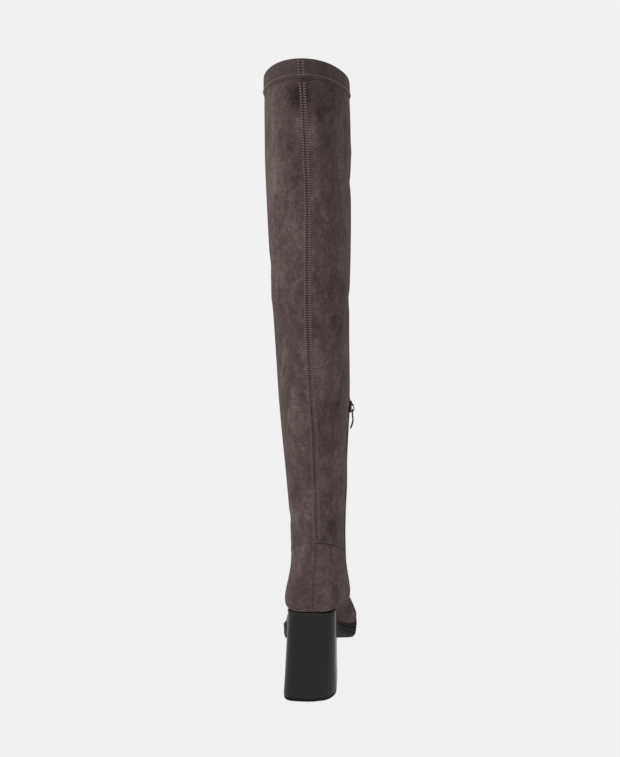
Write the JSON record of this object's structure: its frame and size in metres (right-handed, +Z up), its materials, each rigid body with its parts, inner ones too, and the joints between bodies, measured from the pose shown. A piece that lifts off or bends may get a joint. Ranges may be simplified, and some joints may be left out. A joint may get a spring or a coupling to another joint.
{
  "type": "thigh high boot",
  "caption": "Left thigh high boot in stretch suede cloth on a lacquered block heel, hollow from collar to toe, with a short ankle zip and a hinged pull tab",
  "frame": {"origin": "on the floor under the middle of the heel's top piece", "axes": "+X to the inner side of the left foot, +Y to the toe, +Z up the shaft"},
  "size_m": [0.094, 0.2329, 0.66],
  "materials": {
    "suede": "brushed nap, grey brown",
    "suede_hem": "brushed nap, folded and stitched",
    "sole_rubber": "satin black",
    "rim": "satin black",
    "heel_lacquer": "glossy black lacquer",
    "sock": "smooth lining leather",
    "zip_tape": "woven tape with a closed coil",
    "gunmetal": "dark plated metal"
  },
  "bodies": {
    "boot": {"outsole": "sole_rubber", "welt": "rim", "insole": "sock", "heel_block": "heel_lacquer", "heel_top_piece": "sole_rubber", "foot_upper": "suede", "shaft": "suede", "collar_band": "suede_hem", "zip": "zip_tape", "zip_slider": "gunmetal"},
    "pull_tab": {"pull_tab": "gunmetal"}
  },
  "joints": [
    {"name": "pull_tab_hinge", "type": "hinge", "parent": "boot", "child": "pull_tab", "pos_m": [0.04691, 0.02688, 0.31491], "axis": [0, -1, 0], "range_deg": [0, 160]}
  ]
}
